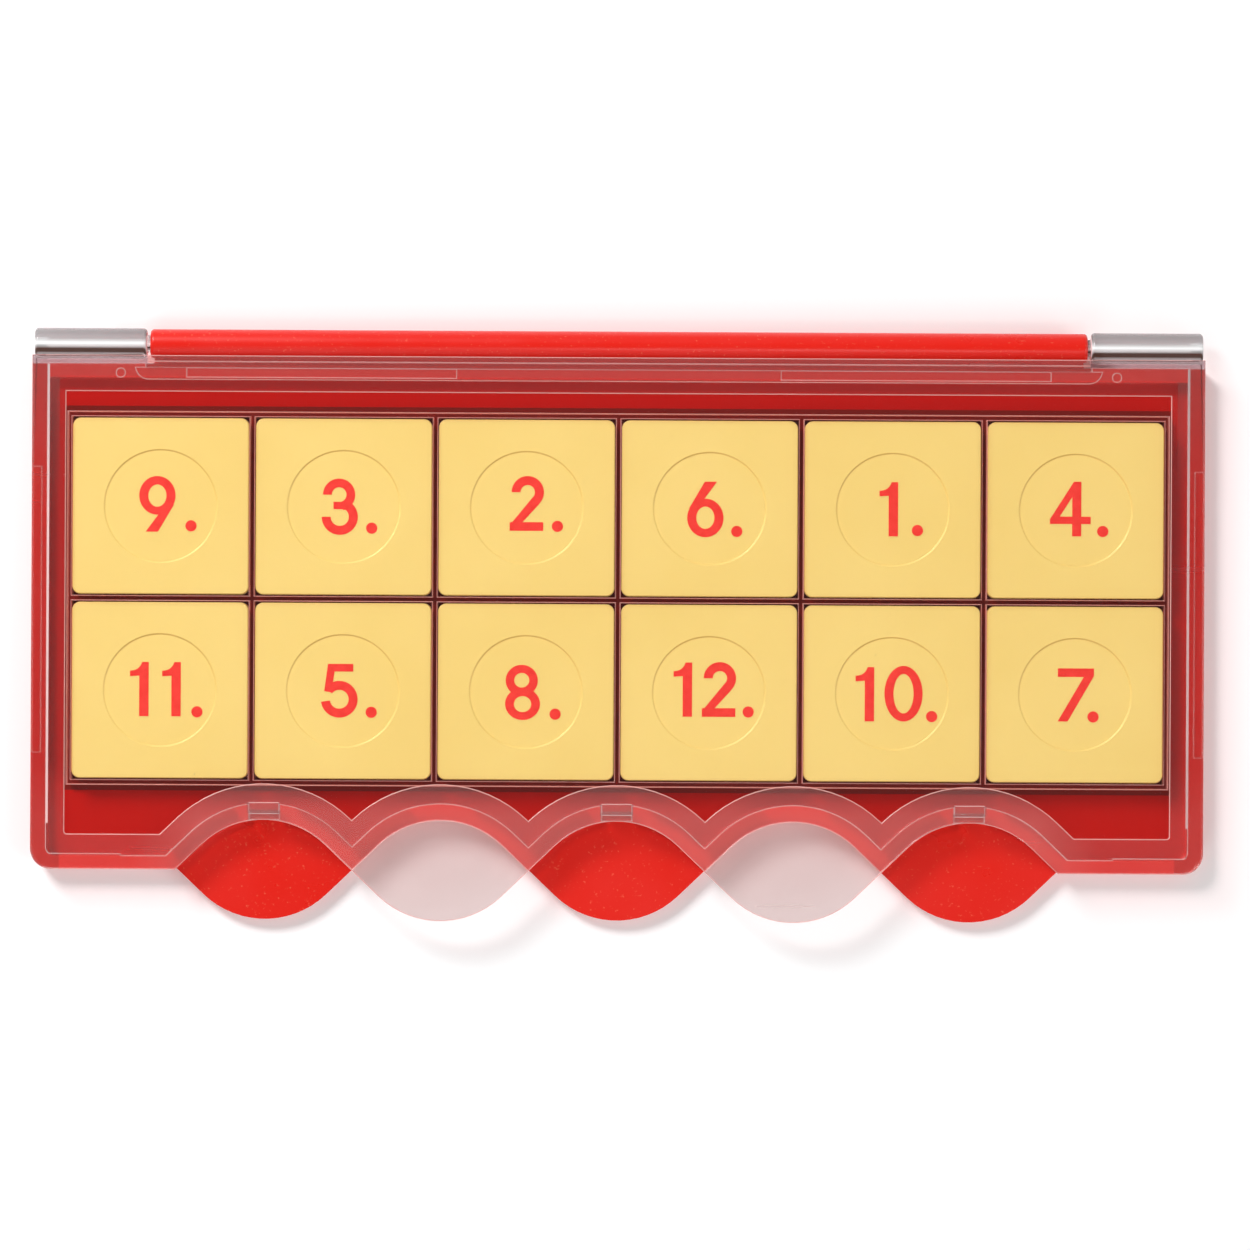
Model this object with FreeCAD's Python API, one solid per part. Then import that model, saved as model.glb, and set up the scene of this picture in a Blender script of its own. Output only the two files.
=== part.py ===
import FreeCAD, Part
import math
import os

from FreeCAD import Vector

# A flat hinged learning case: a red tray and a clear cover that open like a book, with twelve
# loose numbered tiles in a grid of two rows. Millimetres. +X runs along the hinge, +Y points to
# the hinge and +Z points up through the cover. The origin is under the middle of the closed case.

# ---- driving dimensions -------------------------------------------------------------------
CASE_LENGTH = 255.0
CASE_THICKNESS = 9.6
FRONT_TO_KNUCKLE = 128.8  # from the finger tabs' tips to the back of the hinge knuckles
PARTING_GAP = 0.1
SKIN = 1.7  # floor of the tray and plate of the cover

TILE_PITCH_X = 39.85
TILE_PITCH_Y = 40.1
TILE_SIDE = 38.35
TILE_THICKNESS = 5.2
TILE_CORNER = 1.75
TILE_EDGE = 0.3
RECESS_RADIUS = 12.25  # halfway down its sloping wall
RECESS_DEPTH = 0.3
COLUMNS = 6
ROWS = 2
RIB = 1.0
SIDE_RIB = 0.8
RIB_HEIGHT = 2.2
GRID_CENTRE_Y = 5.55

TAB_PITCH = 38.4
TAB_COUNT = 5
TAB_THICKNESS = 3.0
FLANK_ANGLE = math.radians(43.75)  # slope of a scallop's straight flank
FLANK_RUN = 5.8  # length of that flank along X

SIDE_WALL = 3.2
FRONT_WALL = 2.9
WAVE_WALL = 3.6
CASE_CORNER = 4.5
RIM_CORNER = 1.9
FRONT_PAD = 0.4  # how much thicker the front wall is near the corners
FRONT_PAD_START = 108.0

WINDOW_SIDE = 7.3  # from the case's edge to the polished window
WINDOW_FRONT = 7.6
WINDOW_WAVE = 7.8
WINDOW_BACK_Y = 50.55
WINDOW_CORNER = 0.7
WINDOW_STEP = 0.25

KNUCKLE_RADIUS = 3.4
KNUCKLE_LENGTH = 24.6
KNUCKLE_INSET = 0.25  # how far its rounded end stands back from the case's side
BARREL_RADIUS = 3.2
BARREL_END_GAP = 0.8
TRUNNION_RADIUS = 1.95
TRUNNION_LENGTH = 6.0
WEB_BOTTOM = 2.0  # the web that joins the barrel to the tray
WEB_TOP = 4.4
BORE_RADIUS = 2.0
BORE_DEPTH = 5.6
END_HOLE_RADIUS = 0.9
END_HOLE_DEPTH = 2.8
HINGE_ROUND = 0.8

HOOK_WIDTH = 6.6
HOOK_THICKNESS = 1.8
HOOK_REACH = 1.6  # how far a hook goes below the parting line
HOOK_CLEARANCE = 0.15
HOOK_POCKET = 2.35

INK_THICKNESS = 0.07
DOT_RADIUS = 1.22

# ---- places that follow from them ---------------------------------------------------------
HALF_LENGTH = CASE_LENGTH / 2
SPLIT_Z = CASE_THICKNESS / 2
BASE_TOP = SPLIT_Z - PARTING_GAP / 2
COVER_BOTTOM = SPLIT_Z + PARTING_GAP / 2
PLATE_BOTTOM = CASE_THICKNESS - SKIN

ARC_HALF_CHORD = TAB_PITCH / 2 - FLANK_RUN
ARC_RADIUS = ARC_HALF_CHORD / math.sin(FLANK_ANGLE)
FLANK_RISE = FLANK_RUN * math.tan(FLANK_ANGLE)
WAVE_HEIGHT = FLANK_RISE + ARC_RADIUS * (1 - math.cos(FLANK_ANGLE))
FRONT_Y = WAVE_HEIGHT - FRONT_TO_KNUCKLE / 2  # the case's straight front edge
SCALLOP_Y = FRONT_Y + WAVE_HEIGHT
TAB_XS = [(i - (TAB_COUNT - 1) / 2) * TAB_PITCH for i in range(TAB_COUNT)]
BASE_TAB_XS = TAB_XS[0::2]
COVER_TAB_XS = TAB_XS[1::2]

HINGE_Y = FRONT_TO_KNUCKLE / 2 - KNUCKLE_RADIUS
KNUCKLE_INNER_X = HALF_LENGTH - KNUCKLE_LENGTH
BARREL_HALF = KNUCKLE_INNER_X - BARREL_END_GAP
BASE_BACK_Y = 56.6
BASE_BACK_WALL = 3.0
COVER_BACK_Y = 58.35
LIP_FRONT_Y = 55.7  # front face of the cover's back wall beside the barrel
LIP_BACK_Y = 57.1
SHELF_BOTTOM = 7.0  # underside of the cover's overhang above the barrel
POCKET_FRONT_Y = 53.15  # the thinned strip of the plate in front of that wall
POCKET_HALF_X = 105.2
POCKET_CORNER = 3.0
POCKET_DEPTH = 0.5
PAD_INNER_X = 35.3
PAD_OUTER_X = 94.0
PAD_FRONT_Y = 53.65
PAD_HEIGHT = 0.35
GRIP_BACK_Y = 34.1  # the long shallow finger slots under the cover's side edges
GRIP_FRONT_Y = -28.15
GRIP_WIDTH = 1.9
GRIP_HEIGHT = 0.5

GRID_HALF_X = COLUMNS * TILE_PITCH_X / 2 - RIB / 2
GRID_HALF_Y = ROWS * TILE_PITCH_Y / 2 - RIB / 2

# The tiles' order in the case, row by row from the hinge.
TILE_ORDER = [[9, 3, 2, 6, 1, 4], [11, 5, 8, 12, 10, 7]]

# Each numeral's print, from its recess's centre: (character, left edge) pairs, base line, dot.
PRINTS = {
    1: ([("1", -2.9)], -5.8, (5.4, -4.5)),
    2: ([("2", -3.7)], -5.0, (6.7, -4.0)),
    3: ([("3", -4.8)], -6.1, (6.1, -4.6)),
    4: ([("4", -5.6)], -5.6, (5.9, -4.5)),
    5: ([("5", -4.5)], -5.8, (6.2, -4.6)),
    6: ([("6", -4.9)], -6.2, (5.9, -4.9)),
    7: ([("7", -3.7)], -5.8, (4.0, -4.8)),
    8: ([("8", -4.5)], -6.1, (6.4, -4.8)),
    9: ([("9", -4.7)], -5.6, (6.6, -4.3)),
    10: ([("1", -7.9), ("0", -1.6)], -6.0, (8.7, -4.9)),
    11: ([("1", -6.5), ("1", 0.5)], -5.7, (8.1, -4.7)),
    12: ([("1", -7.7), ("2", -1.5)], -5.2, (8.6, -4.1)),
}


# ---- plain shapes -------------------------------------------------------------------------
def point(x, y):
    return Vector(x, y, 0)


def box(x0, x1, y0, y1, z0, z1):
    return Part.makeBox(x1 - x0, y1 - y0, z1 - z0, Vector(x0, y0, z0))


def rod(radius, x0, x1):
    """A cylinder on the hinge axis between two places along it."""
    return Part.makeCylinder(radius, x1 - x0, Vector(x0, HINGE_Y, SPLIT_Z), Vector(1, 0, 0))


def both_sides(shape):
    """The shape and its mirror image in X."""
    return [shape, shape.mirror(Vector(0, 0, 0), Vector(1, 0, 0))]


def prism(edges, z0, z1):
    face = Part.Face(Part.Wire(Part.__sortEdges__(edges)))
    face.translate(Vector(0, 0, z0))
    return face.extrude(Vector(0, 0, z1 - z0))


def joined(shapes):
    return shapes[0].fuse(shapes[1:]).removeSplitter()


def rounded(shape, radius, wanted):
    """The shape with the edges that wanted() picks rounded off."""
    return shape.makeFillet(radius, [edge for edge in shape.Edges if wanted(edge)])


def upright(edge):
    box_ = edge.BoundBox
    return box_.XLength < 1e-6 and box_.YLength < 1e-6


def level(edge):
    return edge.BoundBox.ZLength < 1e-6


# ---- the case's outline -------------------------------------------------------------------
def scallop_edges(centre_x, offset, side=1, start_x=None, end_x=None):
    """One scallop of the wavy front, offset into the case: flank, arc, flank. With side -1 it
    is turned over about the front edge, as the outline of a finger tab."""
    lift = offset / math.cos(FLANK_ANGLE)
    radius = ARC_RADIUS + offset
    arc_y = FRONT_Y + WAVE_HEIGHT - ARC_RADIUS
    reach_x = radius * math.sin(FLANK_ANGLE)
    reach_y = radius * math.cos(FLANK_ANGLE)
    half = TAB_PITCH / 2

    def flank_y(x):
        return FRONT_Y + lift + (half - abs(x - centre_x)) * math.tan(FLANK_ANGLE)

    def placed(x, y):
        return point(x, FRONT_Y + side * (y - FRONT_Y))

    start_x = centre_x - half if start_x is None else start_x
    end_x = centre_x + half if end_x is None else end_x
    start = placed(start_x, flank_y(start_x))
    rise = placed(centre_x - reach_x, arc_y + reach_y)
    top = placed(centre_x, arc_y + radius)
    fall = placed(centre_x + reach_x, arc_y + reach_y)
    end = placed(end_x, flank_y(end_x))
    return [Part.makeLine(start, rise), Part.Arc(rise, top, fall).toShape(), Part.makeLine(fall, end)]


def case_edges(side, front, wave, corner, back_y):
    """The case's outline moved inwards by side, front and wave, from back_y to the front."""
    x = HALF_LENGTH - side
    y = FRONT_Y + front
    wave_x = TAB_COUNT * TAB_PITCH / 2 + (wave / math.cos(FLANK_ANGLE) - front) / math.tan(FLANK_ANGLE)
    turn = corner * (1 - math.sqrt(0.5))
    edges = [
        Part.makeLine(point(-x, back_y), point(-x, y + corner)),
        Part.Arc(point(-x, y + corner), point(-x + turn, y + turn), point(-x + corner, y)).toShape(),
        Part.makeLine(point(-x + corner, y), point(-wave_x, y)),
        Part.makeLine(point(wave_x, y), point(x - corner, y)),
        Part.Arc(point(x - corner, y), point(x - turn, y + turn), point(x, y + corner)).toShape(),
        Part.makeLine(point(x, y + corner), point(x, back_y)),
        Part.makeLine(point(x, back_y), point(-x, back_y)),
    ]
    for centre_x in TAB_XS:
        start_x = -wave_x if centre_x == TAB_XS[0] else None
        end_x = wave_x if centre_x == TAB_XS[-1] else None
        edges += scallop_edges(centre_x, wave, 1, start_x, end_x)
    return edges


def finger_tab(centre_x, z0, z1):
    """A lens that fills its scallop, runs on into the wall behind and stands out in front."""
    root = WAVE_WALL / 2
    edges = scallop_edges(centre_x, 0.0, side=-1) + scallop_edges(centre_x, root)
    for x in (centre_x - TAB_PITCH / 2, centre_x + TAB_PITCH / 2):
        edges.append(Part.makeLine(point(x, FRONT_Y), point(x, FRONT_Y + root / math.cos(FLANK_ANGLE))))
    return prism(edges, z0, z1)


def grid_ribs(z0, z1):
    """The ribs that part the cells, with a rib all round."""
    x = GRID_HALF_X
    low = GRID_CENTRE_Y - GRID_HALF_Y
    high = GRID_CENTRE_Y + GRID_HALF_Y
    ribs = []
    for column in range(1, COLUMNS):
        middle = (column - COLUMNS / 2) * TILE_PITCH_X
        ribs.append(box(middle - RIB / 2, middle + RIB / 2, low, high, z0, z1))
    ribs.append(box(-x, x, GRID_CENTRE_Y - RIB / 2, GRID_CENTRE_Y + RIB / 2, z0, z1))
    ribs.append(box(-x - SIDE_RIB, x + SIDE_RIB, low - RIB, low, z0, z1))
    ribs.append(box(-x - SIDE_RIB, x + SIDE_RIB, high, high + RIB, z0, z1))
    ribs += both_sides(box(x, x + SIDE_RIB, low, high, z0, z1))
    return ribs


# ---- the red tray -------------------------------------------------------------------------
def hinge_barrel():
    barrel = rounded(rod(BARREL_RADIUS, -BARREL_HALF, BARREL_HALF), HINGE_ROUND, lambda e: e.Closed)
    web_x = BARREL_HALF - HINGE_ROUND
    web = box(-web_x, web_x, BASE_BACK_Y - 1, HINGE_Y - 1, WEB_BOTTOM, WEB_TOP)
    bores = both_sides(rod(BORE_RADIUS, BARREL_HALF - BORE_DEPTH, BARREL_HALF + 1))
    return barrel.fuse(web).cut(bores)


def hook_notch(centre_x):
    """Room in the tray's front wall for one of the cover's hooks."""
    half = HOOK_WIDTH / 2 + HOOK_CLEARANCE
    back = SCALLOP_Y + HOOK_THICKNESS + HOOK_CLEARANCE
    return box(centre_x - half, centre_x + half, SCALLOP_Y - 2, back, BASE_TOP - HOOK_REACH, BASE_TOP + 1)


def base_shell():
    body = prism(case_edges(0, 0, 0, CASE_CORNER, BASE_BACK_Y), 0, BASE_TOP)
    inside_edges = case_edges(SIDE_WALL, FRONT_WALL, WAVE_WALL, RIM_CORNER, BASE_BACK_Y - BASE_BACK_WALL)
    body = body.cut(prism(inside_edges, SKIN, BASE_TOP + 1))
    body = body.cut([hook_notch(x) for x in BASE_TAB_XS])
    tabs = [finger_tab(x, 0, TAB_THICKNESS) for x in BASE_TAB_XS]
    return joined([body, hinge_barrel()] + tabs + grid_ribs(SKIN, SKIN + RIB_HEIGHT))


# ---- the clear cover ----------------------------------------------------------------------
def knuckle():
    """The right-hand knuckle with its trunnion, its blind end hole and its wall."""
    end_x = HALF_LENGTH - KNUCKLE_INSET
    body = rounded(rod(KNUCKLE_RADIUS, KNUCKLE_INNER_X, end_x), HINGE_ROUND, lambda e: e.Closed)
    trunnion = rod(TRUNNION_RADIUS, KNUCKLE_INNER_X - TRUNNION_LENGTH, KNUCKLE_INNER_X + 1)
    wall = box(KNUCKLE_INNER_X - 0.2, HALF_LENGTH, BASE_BACK_Y, COVER_BACK_Y, COVER_BOTTOM, PLATE_BOTTOM + 0.5)
    end_hole = rod(END_HOLE_RADIUS, end_x - END_HOLE_DEPTH, end_x + 1)
    return body.fuse([trunnion, wall]).cut(end_hole)


def back_wall():
    """The wall and overhang beside the barrel, clear of it as the cover swings."""
    x = KNUCKLE_INNER_X
    wall = box(-x, x, LIP_FRONT_Y, LIP_BACK_Y, COVER_BOTTOM, PLATE_BOTTOM + 0.5)
    shelf = box(-x, x, LIP_FRONT_Y, COVER_BACK_Y, SHELF_BOTTOM, PLATE_BOTTOM + 0.5)
    return wall.fuse(shelf)


def hinge_pocket():
    """The thinned strip of the plate along the back wall, with its two rounded front corners."""
    z0, z1 = PLATE_BOTTOM - 1, PLATE_BOTTOM + POCKET_DEPTH
    block = box(-POCKET_HALF_X, POCKET_HALF_X, POCKET_FRONT_Y, LIP_FRONT_Y + POCKET_CORNER, z0, z1)
    block = rounded(block, POCKET_CORNER, lambda e: upright(e) and e.BoundBox.YMin < LIP_FRONT_Y)
    pad = box(PAD_INNER_X, PAD_OUTER_X, PAD_FRONT_Y, LIP_FRONT_Y, z1 - PAD_HEIGHT, z1)
    return block.common(box(-HALF_LENGTH, HALF_LENGTH, 0, LIP_FRONT_Y, z0, z1)).cut(both_sides(pad))


def hook(centre_x):
    half = HOOK_WIDTH / 2
    z0 = COVER_BOTTOM - HOOK_REACH
    strip = box(centre_x - half, centre_x + half, SCALLOP_Y, SCALLOP_Y + HOOK_THICKNESS, z0, PLATE_BOTTOM)
    return strip.common(prism(case_edges(0, 0, 0, CASE_CORNER, COVER_BACK_Y), z0, PLATE_BOTTOM))


def hook_pocket(centre_x):
    """The core hole behind a hook, up to the plate."""
    half = HOOK_WIDTH / 2
    front = SCALLOP_Y + HOOK_THICKNESS
    return box(centre_x - half, centre_x + half, front, front + HOOK_POCKET, 0, PLATE_BOTTOM)


def cover_shell():
    body = prism(case_edges(0, 0, 0, CASE_CORNER, COVER_BACK_Y), COVER_BOTTOM, CASE_THICKNESS)
    inside = prism(case_edges(SIDE_WALL, FRONT_WALL, WAVE_WALL, RIM_CORNER, COVER_BACK_Y), 0, PLATE_BOTTOM)
    back_strip = box(-HALF_LENGTH, HALF_LENGTH, BASE_BACK_Y, COVER_BACK_Y, 0, PLATE_BOTTOM)
    pad_x = HALF_LENGTH - SIDE_WALL
    pad_y = FRONT_Y + FRONT_WALL
    front_pad = box(FRONT_PAD_START, pad_x, pad_y, pad_y + FRONT_PAD, COVER_BOTTOM, PLATE_BOTTOM)
    window_edges = case_edges(WINDOW_SIDE, WINDOW_FRONT, WINDOW_WAVE, WINDOW_CORNER, WINDOW_BACK_Y)
    window = prism(window_edges, CASE_THICKNESS - WINDOW_STEP, CASE_THICKNESS + 1)
    grip_x = HALF_LENGTH - GRIP_WIDTH
    grip = box(grip_x, HALF_LENGTH + 1, GRIP_FRONT_Y, GRIP_BACK_Y, 0, COVER_BOTTOM + GRIP_HEIGHT)
    body = body.cut([inside, back_strip, window, hinge_pocket()] + both_sides(grip))
    added = both_sides(knuckle()) + both_sides(front_pad) + [back_wall()]
    added += [finger_tab(x, CASE_THICKNESS - TAB_THICKNESS, CASE_THICKNESS) for x in COVER_TAB_XS]
    added += grid_ribs(PLATE_BOTTOM - RIB_HEIGHT, PLATE_BOTTOM)
    body = joined([body] + added).cut([hook_pocket(x) for x in BASE_TAB_XS])
    return joined([body] + [hook(x) for x in BASE_TAB_XS])


# ---- a tile -------------------------------------------------------------------------------
def tile(centre_x, centre_y):
    half = TILE_SIDE / 2
    body = box(-half, half, -half, half, SKIN, SKIN + TILE_THICKNESS)
    body = rounded(body, TILE_CORNER, upright)
    body = rounded(body, TILE_EDGE, level)
    recess_at = Vector(0, 0, SKIN + TILE_THICKNESS - RECESS_DEPTH)
    floor_radius = RECESS_RADIUS - RECESS_DEPTH / 2
    body = body.cut(Part.makeCone(floor_radius, floor_radius + 1, 1, recess_at))
    body.translate(Vector(centre_x, centre_y, 0))
    return body


# ---- the printed numerals -----------------------------------------------------------------
def patch(points):
    """A straight-sided face."""
    return Part.Face(Part.makePolygon([point(x, y) for x, y in points + points[:1]]))


def bar(x0, x1, y0, y1):
    return patch([(x0, y0), (x1, y0), (x1, y1), (x0, y1)])


def oval(x, y, radius_x, radius_y):
    centre = point(x, y)
    across = point(x + radius_x, y)
    up = point(x, y + radius_y)
    ends = (up, across) if radius_y > radius_x else (across, up)
    return Part.Face(Part.Wire(Part.Ellipse(*ends, centre).toShape()))


def bow(x, y, outer, inner, start, end):
    """A stretch of a round stroke, from start to end in degrees."""

    def at(radius, degrees):
        angle = math.radians(degrees)
        return point(x + radius * math.cos(angle), y + radius * math.sin(angle))

    middle = (start + end) / 2
    edges = [
        Part.Arc(at(outer, start), at(outer, middle), at(outer, end)).toShape(),
        Part.makeLine(at(outer, end), at(inner, end)),
        Part.Arc(at(inner, end), at(inner, middle), at(inner, start)).toShape(),
        Part.makeLine(at(inner, start), at(outer, start)),
    ]
    return Part.Face(Part.Wire(edges))


def one():
    edges = [Part.Arc(point(0, 9.95), point(1.75, 10.45), point(2.6, 11.8)).toShape()]
    corners = [(2.6, 11.8), (4.05, 11.8), (4.05, 0), (2.02, 0), (2.02, 8.85), (0, 8.7), (0, 9.95)]
    for (x0, y0), (x1, y1) in zip(corners, corners[1:]):
        edges.append(Part.makeLine(point(x0, y0), point(x1, y1)))
    return [Part.Face(Part.Wire(edges))], []


def two():
    diagonal = patch([(0, 0), (0, 1.2), (4.95, 7.25), (6.4, 5.85), (2.75, 1.85), (2.75, 0)])
    return [bow(3.9, 8.4, 3.52, 1.57, -50, 180), diagonal, bar(0, 7.3, 0, 1.88)], []


def three():
    upper = bow(3.77, 8.75, 3.5, 1.62, -75, 180)
    lower = bow(3.94, 3.93, 3.93, 1.98, -180, 75)
    return [upper, lower, bar(2.55, 5.3, 5.6, 7.2)], []


def four():
    outline = [(0, 2.7), (4.84, 2.7), (4.84, 0), (6.8, 0), (6.8, 2.7), (8.85, 2.7)]
    outline += [(8.85, 4.3), (6.8, 4.3), (6.8, 11.9), (5.2, 11.9), (0, 3.75)]
    return [patch(outline)], [patch([(2.1, 4.3), (4.84, 4.3), (4.84, 8.6)])]


def five():
    back = patch([(0.45, 5.75), (2.0, 5.5), (2.95, 11.7), (1.25, 11.7)])
    return [bow(3.73, 4.0, 4.0, 2.05, -172, 142), back, bar(1.4, 6.75, 10.05, 11.7)], []


def seven():
    return [patch([(0, 9.7), (5.65, 9.7), (0, 0), (2.15, 0), (7.85, 9.9), (7.85, 11.55), (0, 11.55)])], []


def eight():
    rings = [oval(3.6, 8.6, 3.5, 3.4), oval(3.8, 3.5, 3.8, 3.5)]
    return rings, [oval(3.6, 8.65, 1.65, 1.6), oval(3.8, 3.45, 1.9, 1.75)]


def nine():
    tail = patch([(1.45, 0), (4.1, 0), (7.55, 5.9), (5.6, 5.2), (4.2, 3.75)])
    return [oval(3.95, 7.9, 3.95, 4.2), tail], [oval(3.95, 7.85, 1.98, 2.43)]


def six():
    turned = []
    for faces in nine():
        for face in faces:
            face.rotate(point(3.95, 6.05), Vector(0, 0, 1), 180)
        turned.append(faces)
    return turned


def zero():
    return [oval(4.15, 6.05, 4.15, 6.05)], [oval(4.15, 6.05, 2.2, 4.3)]


CHARACTERS = {
    "0": zero, "1": one, "2": two, "3": three, "4": four,
    "5": five, "6": six, "7": seven, "8": eight, "9": nine,
}


def ink(faces):
    """Faces as a print of even thickness."""
    return [face.extrude(Vector(0, 0, INK_THICKNESS)) for face in faces]


def numeral(number, centre_x, centre_y):
    characters, base_line, dot = PRINTS[number]
    prints = ink([oval(dot[0], dot[1], DOT_RADIUS, DOT_RADIUS)])
    for character, left in characters:
        filled, counters = CHARACTERS[character]()
        shape = ink(filled)[0]
        if len(filled) > 1:
            shape = joined(ink(filled))
        if counters:
            shape = shape.cut(ink(counters))
        shape.translate(Vector(left, base_line, 0))
        prints.append(shape)
    print_ = Part.makeCompound([solid for shape in prints for solid in shape.Solids])
    print_.translate(Vector(centre_x, centre_y, SKIN + TILE_THICKNESS - RECESS_DEPTH))
    return print_


# ---- the pieces ---------------------------------------------------------------------------
def pieces():
    yield "base_shell", base_shell()
    yield "cover_shell", cover_shell()
    for row, numbers in enumerate(TILE_ORDER):
        y = GRID_CENTRE_Y + ((ROWS - 1) / 2 - row) * TILE_PITCH_Y
        for column, number in enumerate(numbers):
            x = (column - (COLUMNS - 1) / 2) * TILE_PITCH_X
            yield f"tile_{number:02d}", tile(x, y)
            yield f"numeral_{number:02d}", numeral(number, x, y)


def main():
    os.makedirs("parts", exist_ok=True)
    for name, shape in pieces():
        shape.exportStep(f"parts/{name}.step")
        bounds = shape.BoundBox
        print(
            f"{name}: valid {shape.isValid()}, {len(shape.Solids)} solids, {shape.Volume:.1f} mm3,",
            f"x {bounds.XMin:.2f} {bounds.XMax:.2f}, y {bounds.YMin:.2f} {bounds.YMax:.2f},",
            f"z {bounds.ZMin:.2f} {bounds.ZMax:.2f}",
        )


main()
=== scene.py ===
import math

import bpy
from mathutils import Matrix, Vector


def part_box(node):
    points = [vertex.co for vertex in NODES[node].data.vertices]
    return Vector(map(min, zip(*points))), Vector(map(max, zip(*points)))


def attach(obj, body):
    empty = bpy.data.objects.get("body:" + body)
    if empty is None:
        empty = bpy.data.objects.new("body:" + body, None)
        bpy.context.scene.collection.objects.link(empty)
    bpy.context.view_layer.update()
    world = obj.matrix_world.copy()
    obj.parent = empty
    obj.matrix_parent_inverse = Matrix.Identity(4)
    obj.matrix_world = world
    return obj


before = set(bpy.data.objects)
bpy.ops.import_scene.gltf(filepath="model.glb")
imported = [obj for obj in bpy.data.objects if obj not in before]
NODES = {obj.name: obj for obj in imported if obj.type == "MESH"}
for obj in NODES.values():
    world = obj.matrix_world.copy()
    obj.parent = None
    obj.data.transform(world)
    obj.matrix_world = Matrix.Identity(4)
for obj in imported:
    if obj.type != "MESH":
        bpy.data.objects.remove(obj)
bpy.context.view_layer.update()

MM = 0.001

# levels, along Z
TOP_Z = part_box("cover_shell")[1].z
BORDER_LEVEL = TOP_Z - 0.12 * MM  # the frosted border lies above this, the polished window below
PLATE_LEVEL = 7.85 * MM  # just under the plate: the cover's ribs, walls and hooks lie below this
CORNER_REACH = 0.2 * MM  # rounded corners on the plate's underside stay within this above it
TAB_UNDERSIDE = 6.6 * MM  # of the clear finger tabs
TAB_MARGIN = 0.2 * MM
RIB_TOP = 4.1 * MM  # the tray's ribs lie below this
FLOOR_LEVEL = 2.4 * MM  # the tray's floor, between its ribs, lies below this
TILE_PLANE_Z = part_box("tile_01")[1].z

# lines across the case, along Y, from the front to the hinge
CATCH_POCKET = (-41.2 * MM, -38.85 * MM)  # front and back of a catch hook's pocket as painted: painted shade inside, a painted highlight bar at each end
TAB_LINE = -40.0 * MM  # the finger tabs and nearly all of the wavy front wall lie in front of this
WAVE_HAZE = (-30.0 * MM, -42.0 * MM)  # the extra haze over the wavy wall, a painted sheen, grows from none to full here
GRID_MIDDLE_Y = 5.55 * MM
SIDE_SHADE_START = 25.0 * MM  # on the sides, the hinge strip's shade grows from here to the hinge
HINGE_STRIP_LINE = 50.6 * MM  # the strip between the window and the hinge lies beyond this
BACK_WALL_LINE = 53.6 * MM  # the tray's back wall stands under the plate beyond this
BACK_WALL_STEP = 0.4 * MM  # half of the soft edge where the hinge strip's painted shade comes in
KNUCKLE_FOOT_LINE = 56.6 * MM  # the plate beyond the tray's back face carries the knuckles
KNUCKLE_LINE = 58.5 * MM  # past the plate's back edge, where only the hinge knuckles are

# distances from the case's middle, along X
GRID_REACH = (120.8 * MM, 42.0 * MM)  # half the grid of ribs along X and Y, with a margin
CATCH_PLACES = (-76.8 * MM, 0.0, 76.8 * MM)  # the three catch hooks
CATCH_REACH = 3.3 * MM  # half of a hook's width
CATCH_MARGIN = 0.3 * MM
WAVE_END = 97.0 * MM  # the wavy front wall ends here
WAVE_FADE = (WAVE_END - 6 * MM, WAVE_END + 8 * MM)  # where that painted sheen over it falls off
KNUCKLE_END = 102.5 * MM  # the knuckles and their feet lie beyond this
SIDE_WALL_LINE = 121.5 * MM  # the case's side walls lie beyond this
CORE_HOLE_END = 124.2 * MM  # the blind holes in the knuckles' ends lie beyond this
SIDE_WALL_FACE = 124.3 * MM  # the side walls' inner faces
OUTER_EDGE_LINE = SIDE_WALL_FACE + 0.3 * MM  # edges beyond this are on the walls' outsides

HINGE_Y, HINGE_Z = 61.0 * MM, 4.8 * MM
CORE_HOLE_REACH = 1.05 * MM  # the holes' radius, with a margin
RING_MARK_X, RING_MARK_Y = 108.3 * MM, 54.5 * MM
SIDE_WALL_ENDS = (-43.5 * MM, 56.4 * MM)  # the painted highlight strip at a side wall's root runs between these
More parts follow.
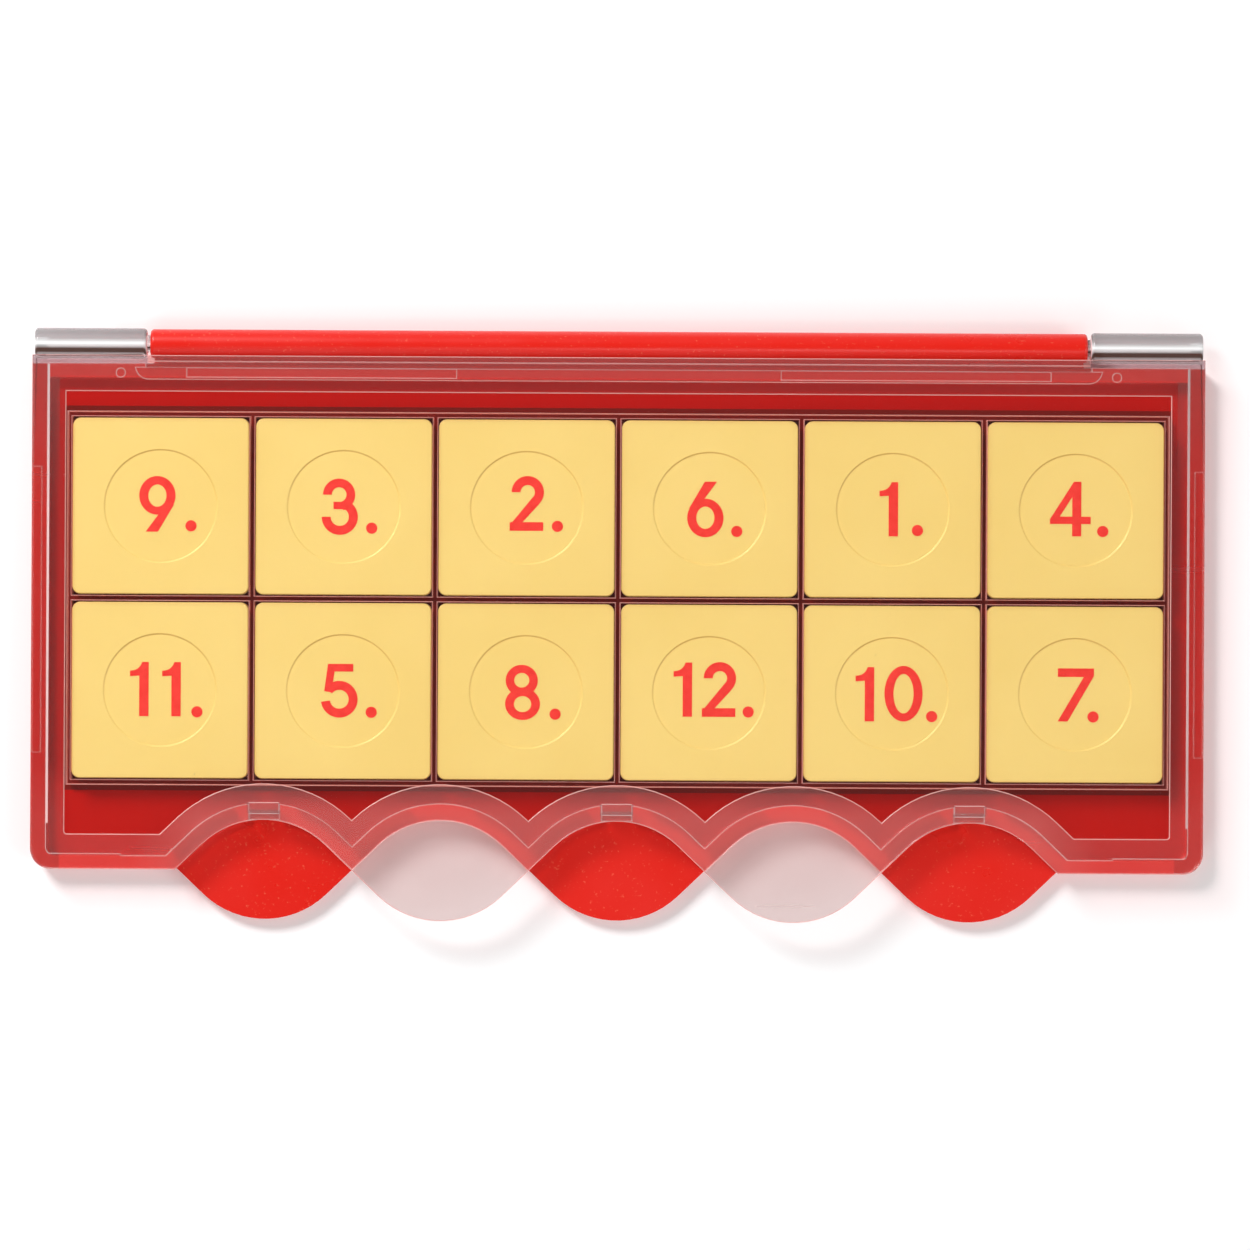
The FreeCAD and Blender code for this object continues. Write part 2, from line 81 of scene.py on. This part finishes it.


# ---- node helpers -------------------------------------------------------------------------
class Shader:
    """One material's node tree, built up by short calls."""

    def __init__(self, name):
        self.material = bpy.data.materials.new(name)
        self.material.use_nodes = True
        self.tree = self.material.node_tree
        self.tree.nodes.clear()
        self.output = self.add("ShaderNodeOutputMaterial")
        coordinates = self.add("ShaderNodeTexCoord")
        self.place = coordinates.outputs["Object"]
        self.normal = coordinates.outputs["Normal"]

    def add(self, kind, **inputs):
        node = self.tree.nodes.new(kind)
        for name, value in inputs.items():
            self.feed(node.inputs[name.replace("_", " ")], value)
        return node

    def feed(self, socket, value):
        if isinstance(value, bpy.types.NodeSocket):
            self.tree.links.new(value, socket)
        else:
            socket.default_value = value

    def math(self, operation, first, second=0.0, third=0.0):
        node = self.tree.nodes.new("ShaderNodeMath")
        node.operation = operation
        for socket, value in zip(node.inputs, (first, second, third)):
            self.feed(socket, value)
        return node.outputs[0]

    def beyond(self, value, line):
        return self.math("GREATER_THAN", value, line)

    def before(self, value, line):
        return self.math("LESS_THAN", value, line)

    def near(self, value, middle, reach):
        return self.math("COMPARE", value, middle, reach)

    def both(self, first, second):
        return self.math("MULTIPLY", first, second)

    def either(self, first, second):
        return self.math("MAXIMUM", first, second)

    def raised(self, base, mask, amount):
        """The base value, with the amount added where the mask is 1."""
        return self.math("MULTIPLY_ADD", mask, amount, base)

    def noise(self, scale, detail=2.0, roughness=0.5, place=None):
        node = self.add("ShaderNodeTexNoise", Scale=scale, Detail=detail, Roughness=roughness)
        self.feed(node.inputs["Vector"], place or self.place)
        return node.outputs["Fac"]

    def stretched(self, scale, turn=0.0):
        """The object's coordinates scaled unevenly and turned about Z."""
        node = self.add("ShaderNodeMapping", Vector=self.place)
        node.inputs["Scale"].default_value = scale
        node.inputs["Rotation"].default_value = (0.0, 0.0, turn)
        return node.outputs[0]

    def ramp(self, value, low, high, start=0.0, end=1.0):
        node = self.add("ShaderNodeMapRange", Value=value)
        for name, number in (("From Min", low), ("From Max", high), ("To Min", start), ("To Max", end)):
            self.feed(node.inputs[name], number)
        node.clamp = True
        return node.outputs[0]

    def blend(self, share, first, second):
        node = self.tree.nodes.new("ShaderNodeMix")
        node.data_type = "RGBA"
        self.feed(node.inputs["Factor"], share)
        self.feed(node.inputs["A"], first)
        self.feed(node.inputs["B"], second)
        for socket in node.outputs:
            if socket.type == "RGBA":
                return socket

    def axis(self, name):
        return self.add("ShaderNodeSeparateXYZ", Vector=self.place).outputs[name]

    def from_middle(self):
        """The distance from the case's middle, either way along X."""
        return self.math("ABSOLUTE", self.axis("X"))

    def in_grid(self):
        """1 within the grid of ribs, seen from above, and 0 elsewhere."""
        across = self.math("ABSOLUTE", self.math("SUBTRACT", self.axis("Y"), GRID_MIDDLE_Y))
        within = self.before(self.from_middle(), GRID_REACH[0])
        return self.both(within, self.before(across, GRID_REACH[1]))

    def facing_up(self):
        normal = self.add("ShaderNodeNewGeometry").outputs["Normal"]
        return self.beyond(self.add("ShaderNodeSeparateXYZ", Vector=normal).outputs["Z"], 0.5)

    def bump(self, height, strength, distance):
        node = self.add("ShaderNodeBump", Height=height, Strength=strength, Distance=distance)
        return node.outputs[0]

    def mix(self, share, first, second):
        node = self.add("ShaderNodeMixShader", Fac=share)
        self.feed(node.inputs[1], first)
        self.feed(node.inputs[2], second)
        return node.outputs[0]

    def let_lamps_through(self, shader, colour):
        """Shadow rays and diffusely bounced rays pass straight through, tinted by the colour."""
        lamp_pass = self.add("ShaderNodeBsdfTransparent", Color=colour).outputs[0]
        ray = self.add("ShaderNodeLightPath").outputs
        bounced = self.mix(ray["Is Diffuse Ray"], shader, lamp_pass)
        return self.mix(ray["Is Shadow Ray"], bounced, lamp_pass)

    def show(self, shader):
        self.tree.links.new(shader, self.output.inputs["Surface"])
        return self.material


def rgb(red, green, blue):
    return (red, green, blue, 1.0)


# ---- materials ----------------------------------------------------------------------------
def red_plastic(name, rib_painted_light):
    """Opaque moulded plastic: softly glossy, very fine grain, faint flow marks and specks. The
    tray's floor is glossier and has painted shade, a darker red; the grid's ribs take the
    painted light passed in: shade on the plain ribs, a highlight on their rounded edges."""
    s = Shader(name)
    flow = s.noise(14.0, 3.0, 0.55, s.stretched((0.35, 1.0, 1.0)))
    colour = s.blend(s.ramp(flow, 0.35, 0.65), rgb(0.78, 0.013, 0.006), rgb(0.84, 0.017, 0.008))
    specks = s.ramp(s.noise(1500.0, 1.0), 0.66, 0.78)
    colour = s.blend(s.math("MULTIPLY", specks, 0.35), colour, rgb(0.95, 0.22, 0.12))
    # painted shade: the tray's floor between the ribs is a darker red; it is also glossier
    floor_gloss_and_shade = s.both(s.facing_up(), s.before(s.axis("Z"), FLOOR_LEVEL))
    colour = s.blend(floor_gloss_and_shade, colour, rgb(0.56, 0.005, 0.002))
    # painted light on the grid's ribs, in the colour passed in
    rib_share = s.both(s.in_grid(), s.before(s.axis("Z"), RIB_TOP))
    colour = s.blend(rib_share, colour, rib_painted_light)
    grain = s.noise(5200.0, 2.0)
    roughness = s.ramp(s.noise(60.0, 4.0), 0.3, 0.7, 0.26, 0.38)
    roughness = s.math("MULTIPLY", roughness, s.raised(1.0, floor_gloss_and_shade, -0.60))
    body = s.add("ShaderNodeBsdfPrincipled", Base_Color=colour)
    s.feed(body.inputs["Roughness"], roughness)
    s.feed(body.inputs["IOR"], 1.46)
    s.feed(body.inputs["Normal"], s.bump(grain, 0.18, 0.00004))
    return s.show(body.outputs[0])


def tile_plastic():
    """Cream-yellow moulded plastic: satin, with fine grain and a few dark specks. Slopes that
    face the front, such as the back of the recess's wall, get painted shade: a darker colour."""
    s = Shader("tile_plastic")
    cloud = s.noise(30.0, 3.0, 0.6)
    colour = s.blend(s.ramp(cloud, 0.35, 0.65), rgb(0.97, 0.695, 0.200), rgb(1.0, 0.725, 0.222))
    specks = s.ramp(s.noise(950.0, 1.0), 0.80, 0.84)
    colour = s.blend(s.math("MULTIPLY", specks, 0.55), colour, rgb(0.60, 0.42, 0.14))
    mottle = s.noise(1800.0, 3.0, 0.6)
    colour = s.blend(s.ramp(mottle, 0.4, 0.7, 0.0, 0.10), colour, rgb(0.88, 0.62, 0.18))
    facing = s.add("ShaderNodeSeparateXYZ", Vector=s.normal).outputs
    # painted shade on slopes turned away from the light
    slope_shade = s.near(facing["Z"], 0.72, 0.20)
    slope_shade = s.both(slope_shade, s.ramp(facing["Y"], -0.55, 0.10, 1.0, 0.0))
    colour = s.blend(slope_shade, colour, rgb(0.80, 0.50, 0.11))
    body = s.add("ShaderNodeBsdfPrincipled", Base_Color=colour)
    s.feed(body.inputs["Roughness"], s.ramp(mottle, 0.3, 0.7, 0.42, 0.55))
    s.feed(body.inputs["IOR"], 1.49)
    s.feed(body.inputs["Subsurface Weight"], 0.06)
    s.feed(body.inputs["Subsurface Radius"], (1.0, 0.6, 0.25))
    s.feed(body.inputs["Subsurface Scale"], 0.0012)
    s.feed(body.inputs["Normal"], s.bump(mottle, 0.25, 0.00005))
    return s.show(body.outputs[0])


def numeral_ink():
    """Red screen-printed ink, a little uneven in its cover."""
    s = Shader("numeral_ink")
    cover = s.noise(700.0, 3.0, 0.6)
    colour = s.blend(s.ramp(cover, 0.3, 0.7), rgb(0.90, 0.024, 0.014), rgb(1.0, 0.040, 0.026))
    body = s.add("ShaderNodeBsdfPrincipled", Base_Color=colour)
    s.feed(body.inputs["Roughness"], s.ramp(cover, 0.3, 0.7, 0.40, 0.52))
    s.feed(body.inputs["Normal"], s.bump(s.noise(2600.0, 2.0), 0.15, 0.00003))
    return s.show(body.outputs[0])


class CoverPlaces:
    """Masks on the clear cover: 1 where a point lies in the named place and 0 elsewhere. The
    hinge strip's painted shade and the waves' painted sheen come in softly."""

    def __init__(self, s):
        along, across, height = s.from_middle(), s.axis("Y"), s.axis("Z")
        self.border = s.beyond(height, BORDER_LEVEL)
        self.front = s.before(across, TAB_LINE)
        self.tab_underside = s.both(s.near(height, TAB_UNDERSIDE, TAB_MARGIN), self.front)

        outside_window = s.either(s.beyond(along, SIDE_WALL_LINE), s.beyond(across, HINGE_STRIP_LINE))
        self.wall = s.both(s.before(height, PLATE_LEVEL), s.either(outside_window, s.in_grid()))

        self.knuckle = s.beyond(across, KNUCKLE_LINE)
        self.behind_tray = s.beyond(across, KNUCKLE_FOOT_LINE)
        self.foot = s.both(self.behind_tray, s.beyond(along, KNUCKLE_END))
        core_end = s.both(s.beyond(along, CORE_HOLE_END), s.near(across, HINGE_Y, CORE_HOLE_REACH))
        self.core_hole = s.both(core_end, s.near(height, HINGE_Z, CORE_HOLE_REACH))

        back_low, back_high = BACK_WALL_LINE - BACK_WALL_STEP, BACK_WALL_LINE + BACK_WALL_STEP
        strip = s.ramp(across, back_low, back_high)
        side_strip = s.ramp(across, SIDE_SHADE_START, KNUCKLE_FOOT_LINE)
        strip = s.blend(s.beyond(along, SIDE_WALL_LINE), strip, side_strip)
        strip = s.both(s.before(across, KNUCKLE_FOOT_LINE), strip)
        self.hinge_strip = s.both(self.border, strip)

        waves = s.both(s.ramp(across, *WAVE_HAZE), s.ramp(along, *WAVE_FADE, 1.0, 0.25))
        self.border_near_waves = s.both(self.border, waves)

        middle_catch = s.near(along, CATCH_PLACES[1], CATCH_REACH + CATCH_MARGIN)
        side_catch = s.near(along, CATCH_PLACES[2], CATCH_REACH + CATCH_MARGIN)
        at_catch = s.either(middle_catch, side_catch)
        self.wave_share = s.both(s.raised(1.0, at_catch, -0.4), s.before(along, WAVE_END))
        pocket_front, pocket_back = CATCH_POCKET
        pocket_middle, pocket_reach = (pocket_front + pocket_back) / 2, (pocket_back - pocket_front) / 2
        pocket = s.near(across, pocket_middle, pocket_reach)
        self.catch_pocket = s.both(s.both(pocket, self.border), at_catch)


def clear_glass(s, at):
    """The see-through part of the clear plastic, tinted in each place: pink on the frosted border,
    greyer on the knuckles and their feet, and painted shade as darker tints over the hinge strip,
    in the catch pockets, through the walls and ribs below the plate and under the finger tabs.
    """
    grain = s.noise(2600.0, 3.0, 0.65)
    scratches = s.ramp(s.noise(420.0, 1.5, 0.5, s.stretched((0.05, 1.0, 1.0), 0.9)), 0.70, 0.74)
    roughness = s.raised(0.015, at.border, 0.22)
    roughness = s.raised(roughness, scratches, 0.05)
    roughness = s.raised(roughness, at.knuckle, 0.10)
    tint = s.blend(at.border, rgb(0.99, 0.985, 0.98), rgb(0.97, 0.78, 0.775))
    # painted shade: a darker blue-grey tint over the hinge strip
    tint = s.blend(at.hinge_strip, tint, rgb(0.46, 0.52, 0.54))
    # painted shade: a dark grey tint in each catch hook's pocket
    tint = s.blend(at.catch_pocket, tint, rgb(0.42, 0.44, 0.48))
    # painted shade: a dark red tint through the walls and ribs below the plate, deepening the gaps
    # between tiles
    tint = s.blend(at.wall, tint, rgb(0.52, 0.34, 0.32))
    # painted shade: a grey tint under the clear finger tabs, for their shadow on the floor
    tint = s.blend(at.tab_underside, tint, rgb(0.57, 0.60, 0.59))
    tint = s.blend(at.foot, tint, rgb(0.44, 0.36, 0.40))
    tint = s.blend(at.knuckle, tint, rgb(0.50, 0.49, 0.49))
    glass = s.add("ShaderNodeBsdfPrincipled", Base_Color=tint)
    s.feed(glass.inputs["Roughness"], roughness)
    s.feed(glass.inputs["IOR"], 1.49)
    s.feed(glass.inputs["Transmission Weight"], 1.0)
    s.feed(glass.inputs["Normal"], s.bump(grain, 0.10, 0.00004))
    return glass.outputs[0]


def clear_plastic():
    """Clear moulded plastic: polished inside the window line, fine-frosted on the raised border
    and the finger tabs. A painted highlight, white, and a band of painted shade run along the
    knuckles, placed by the way their surface faces; the holes in the knuckles' ends are painted
    white as a highlight too. Lamps shine through it, and least through its upright walls."""
    s = Shader("clear_plastic")
    at = CoverPlaces(s)
    facing = s.add("ShaderNodeSeparateXYZ", Vector=s.normal).outputs
    upright = s.before(s.math("ABSOLUTE", facing["Z"]), 0.5)
    # painted highlight: a white band along each knuckle where its surface faces straight up
    painted_gleam = s.both(at.knuckle, s.ramp(s.math("ABSOLUTE", facing["Y"]), 0.02, 0.30, 1.0, 0.0))
    # painted shade: a dark band along each knuckle where its surface turns towards the front
    off_dark = s.math("ABSOLUTE", s.math("ADD", facing["Y"], 0.45))
    painted_shade_band = s.both(at.knuckle, s.ramp(off_dark, 0.11, 0.26, 1.0, 0.0))
    # painted highlight: the white band and the holes in the knuckles' ends
    painted_highlight = s.either(painted_gleam, at.core_hole)

    # haze: the frost's own milky scatter; its pink over the tray is a painted reflection of the red
    # tray beneath
    milk = s.blend(at.knuckle, rgb(1.0, 0.52, 0.49), rgb(0.48, 0.49, 0.50))
    milk = s.blend(painted_highlight, milk, rgb(1.0, 1.0, 1.0))
    milk = s.blend(painted_shade_band, milk, rgb(0.07, 0.03, 0.02))
    haze = s.add("ShaderNodeBsdfDiffuse", Color=milk).outputs[0]
    haze_share = s.raised(0.003, at.border, 0.02)
    # painted sheen: extra milky haze over the border by the wavy front wall
    haze_share = s.raised(haze_share, at.border_near_waves, 0.13)
    haze_share = s.raised(haze_share, at.catch_pocket, 0.03)
    haze_share = s.raised(haze_share, at.hinge_strip, 0.05)
    haze_share = s.raised(haze_share, at.behind_tray, 0.03)
    haze_share = s.raised(haze_share, at.knuckle, 0.30)
    haze_share = s.raised(haze_share, painted_highlight, 0.68)
    haze_share = s.raised(haze_share, painted_shade_band, 0.60)
    solid = s.mix(haze_share, clear_glass(s, at), haze)

    pass_colour = s.blend(at.border, rgb(1.0, 0.99, 0.985), rgb(1.0, 0.90, 0.90))
    pass_colour = s.blend(upright, pass_colour, rgb(0.90, 0.80, 0.80))
    wave_wall = s.both(s.both(upright, at.front), at.wave_share)
    pass_colour = s.blend(wave_wall, pass_colour, rgb(0.46, 0.40, 0.40))
    return s.show(s.let_lamps_through(solid, pass_colour))


def clear_edge():
    """The clear plastic's rounded edges, given pale, partly opaque colours that paint the light such
    edges catch, and lit by the lamps as well. Painted highlights: pink on top of the plate, paler
    below it, nearly white on the side walls and deep pink on the ribs over the red tray. The side
    walls' outer edges are mostly clear."""
    s = Shader("clear_edge")
    low = s.before(s.axis("Z"), PLATE_LEVEL + CORNER_REACH)
    ribs = s.both(low, s.in_grid())
    side_wall = s.both(low, s.beyond(s.from_middle(), SIDE_WALL_LINE))
    outer = s.beyond(s.from_middle(), OUTER_EDGE_LINE)
    # painted highlights: pale colours that stand in for the light the clear edges catch
    colour = s.blend(low, rgb(1.0, 0.56, 0.52), rgb(1.0, 0.66, 0.64))
    colour = s.blend(side_wall, colour, rgb(1.0, 0.90, 0.89))
    colour = s.blend(ribs, colour, rgb(0.98, 0.42, 0.38))
    body = s.add("ShaderNodeBsdfPrincipled", Base_Color=colour)
    s.feed(body.inputs["Roughness"], 0.25)
    s.feed(body.inputs["IOR"], 1.49)
    clearness = s.raised(0.35, low, -0.25)
    clearness = s.raised(clearness, ribs, 0.35)
    clearness = s.either(clearness, s.math("MULTIPLY", outer, 0.86))
    s.feed(body.inputs["Transmission Weight"], clearness)
    s.feed(body.inputs["Normal"], s.bump(s.noise(3000.0, 2.0), 0.15, 0.00004))
    return s.show(s.let_lamps_through(body.outputs[0], rgb(0.80, 0.70, 0.70)))


def floor_paper():
    s = Shader("floor_paper")
    body = s.add("ShaderNodeBsdfPrincipled", Base_Color=rgb(0.95, 0.95, 0.95))
    s.feed(body.inputs["Roughness"], 0.85)
    s.feed(body.inputs["Emission Color"], rgb(1.0, 1.0, 1.0))
    s.feed(body.inputs["Emission Strength"], 0.10)
    s.feed(body.inputs["Normal"], s.bump(s.noise(900.0, 3.0), 0.05, 0.0001))
    return s.show(body.outputs[0])


# ---- the pieces ---------------------------------------------------------------------------
def dress(node, *materials):
    slots = NODES[node].data.materials
    slots.clear()
    for material in materials:
        slots.append(material)


def soften(node, width, edge_slot=None):
    """Joins the node's split corners and rounds its sharp edges."""
    piece = NODES[node]
    weld = piece.modifiers.new("join", "WELD")
    weld.merge_threshold = 0.002 * MM
    bevel = piece.modifiers.new("round", "BEVEL")
    bevel.width = width
    bevel.segments = 2
    bevel.limit_method = "ANGLE"
    bevel.angle_limit = math.radians(38)
    bevel.use_clamp_overlap = False
    bevel.harden_normals = True
    if edge_slot is not None:
        bevel.material = edge_slot


# the grid's ribs: painted shade in the plain red, a painted highlight on the rounded rib edges
RED = red_plastic("red_plastic", rgb(0.22, 0.010, 0.006))
RED_EDGE = red_plastic("red_edge", rgb(0.80, 0.26, 0.21))
CREAM = tile_plastic()
INK = numeral_ink()
CLEAR = clear_plastic()
EDGE = clear_edge()

dress("base_shell", RED, RED_EDGE)
dress("cover_shell", CLEAR, EDGE)
soften("base_shell", 0.12 * MM, edge_slot=1)
soften("cover_shell", 0.10 * MM, edge_slot=1)
for name in NODES:
    if name.startswith("tile_"):
        dress(name, CREAM)
        soften(name, 0.10 * MM)
    if name.startswith("numeral_"):
        dress(name, INK)


# ---- small details of the cover -----------------------------------------------------------
def new_piece(name, points, faces, material):
    """A mesh that rides on the cover and belongs to its material slot."""
    mesh = bpy.data.meshes.new(name)
    mesh.from_pydata(points, [], faces)
    mesh.materials.append(material)
    piece = bpy.data.objects.new(name, mesh)
    bpy.context.scene.collection.objects.link(piece)
    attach(piece, "cover")


def ring_mark(name, x, y):
    """The thin raised ring that an ejector pin leaves, level with the border's top."""
    around, across = 40, 8
    radius, thickness = 1.0 * MM, 0.10 * MM
    points, faces = [], []
    for i in range(around):
        turn = 2 * math.pi * i / around
        for j in range(across):
            roll = 2 * math.pi * j / across
            reach = radius + thickness * math.cos(roll)
            z = TOP_Z - 1.2 * thickness + thickness * math.sin(roll)
            points.append((x + reach * math.cos(turn), y + reach * math.sin(turn), z))
            here, there = i * across, (i + 1) % around * across
            faces.append((here + j, there + j, there + (j + 1) % across, here + (j + 1) % across))
    new_piece(name, points, faces, EDGE)


def wall_root_glint(name, side):
    """A thin pale strip at a side wall's root, seen through the plate: a painted highlight, shaped as
    the sloping fillet where the wall's inner face meets the plate.
    """
    reach, skin = 0.42 * MM, 0.06 * MM
    x_wall = SIDE_WALL_FACE - 0.02 * MM
    z_plate = PLATE_LEVEL + 0.01 * MM
    section = [
        (x_wall, z_plate - reach),
        (x_wall - reach, z_plate),
        (x_wall - reach - skin, z_plate),
        (x_wall, z_plate - reach - skin),
    ]
    points = [(side * x, y, z) for y in SIDE_WALL_ENDS for x, z in section]
    faces = [(0, 1, 2, 3), (7, 6, 5, 4)]
    for i in range(4):
        j = (i + 1) % 4
        faces.append((i, i + 4, j + 4, j))
    if side < 0:
        faces = [face[::-1] for face in faces]
    new_piece(name, points, faces, EDGE)


def catch_glint_bars(name, centre_x):
    """Painted highlights: the lines at the back and front of a catch hook's painted pocket, as two
    thin pale bars set just inside the plate's underside."""
    half_width = 0.09 * MM
    z_low, z_high = PLATE_LEVEL + 0.06 * MM, PLATE_LEVEL + 0.14 * MM
    points, faces = [], []
    for y in reversed(CATCH_POCKET):
        first = len(points)
        y0, y1 = y - half_width, y + half_width
        flat = [(-CATCH_REACH, y0), (CATCH_REACH, y0), (CATCH_REACH, y1), (-CATCH_REACH, y1)]
        points += [(centre_x + x, y, z) for z in (z_low, z_high) for x, y in flat]
        faces += [tuple(first + i for i in (3, 2, 1, 0)), tuple(first + i for i in (4, 5, 6, 7))]
        for i in range(4):
            j = (i + 1) % 4
            faces.append((first + i, first + j, first + j + 4, first + i + 4))
    new_piece(name, points, faces, EDGE)


for place, label in zip(CATCH_PLACES, ("left", "middle", "right")):
    catch_glint_bars(f"catch_glint_bars_{label}", place)
for side, label in ((-1, "left"), (1, "right")):
    ring_mark(f"ring_mark_{label}", side * RING_MARK_X, RING_MARK_Y)
    wall_root_glint(f"wall_root_glint_{label}", side)


# ---- floor, light and camera --------------------------------------------------------------
def floor():
    mesh = bpy.data.meshes.new("floor")
    reach = 3.0
    corners = [(-reach, -reach, 0), (reach, -reach, 0), (reach, reach, 0), (-reach, reach, 0)]
    mesh.from_pydata(corners, [], [(0, 1, 2, 3)])
    obj = bpy.data.objects.new("floor", mesh)
    mesh.materials.append(floor_paper())
    bpy.context.scene.collection.objects.link(obj)


def softbox(name, place, size, power):
    """A round lamp that looks at the case's middle."""
    data = bpy.data.lights.new(name, "AREA")
    data.shape = "DISK"
    data.size = size
    data.energy = power
    obj = bpy.data.objects.new(name, data)
    obj.location = place
    to_middle = Vector((0, 0, 0)) - obj.location
    obj.rotation_euler = to_middle.to_track_quat("-Z", "Y").to_euler()
    bpy.context.scene.collection.objects.link(obj)


def studio_sky():
    """Even light from the sides with a darker ceiling, so the window mirrors little of it."""
    world = bpy.data.worlds.new("studio")
    bpy.context.scene.world = world
    world.use_nodes = True
    tree = world.node_tree
    tree.nodes.clear()
    place = tree.nodes.new("ShaderNodeTexCoord").outputs["Generated"]
    parts = tree.nodes.new("ShaderNodeSeparateXYZ")
    tree.links.new(place, parts.inputs[0])
    ramp = tree.nodes.new("ShaderNodeMapRange")
    for name, number in (("From Min", 0.35), ("From Max", 0.92), ("To Min", 0.54), ("To Max", 0.10)):
        ramp.inputs[name].default_value = number
    tree.links.new(parts.outputs["Z"], ramp.inputs["Value"])
    light = tree.nodes.new("ShaderNodeBackground")
    tree.links.new(ramp.outputs[0], light.inputs["Strength"])
    output = tree.nodes.new("ShaderNodeOutputWorld")
    tree.links.new(light.outputs[0], output.inputs[0])


def camera():
    """Straight down on the tiles, turned a little so the case lies slightly askew."""
    data = bpy.data.cameras.new("camera")
    height = 1.4
    view_width = 0.27225  # at the tiles' tops
    off_x, off_y = 1.60 * MM, 0.2 * MM  # from the case's middle to the picture's
    data.sensor_width = 36.0
    data.lens = data.sensor_width * height / view_width
    obj = bpy.data.objects.new("camera", data)
    obj.location = (off_x, off_y, TILE_PLANE_Z + height)
    obj.rotation_euler = (0.0, 0.0, math.radians(0.30))
    bpy.context.scene.collection.objects.link(obj)
    bpy.context.scene.camera = obj


floor()
softbox("key", (-0.62, 0.72, 0.80), size=0.40, power=12.0)
softbox("fill", (0.95, -0.35, 0.70), size=0.70, power=4.0)
softbox("strip", (0.10, -0.46, 1.05), size=0.22, power=1.0)
softbox("front", (-0.35, -0.95, 0.75), size=0.70, power=2.9)
studio_sky()
camera()
bpy.context.scene.view_settings.view_transform = "Standard"
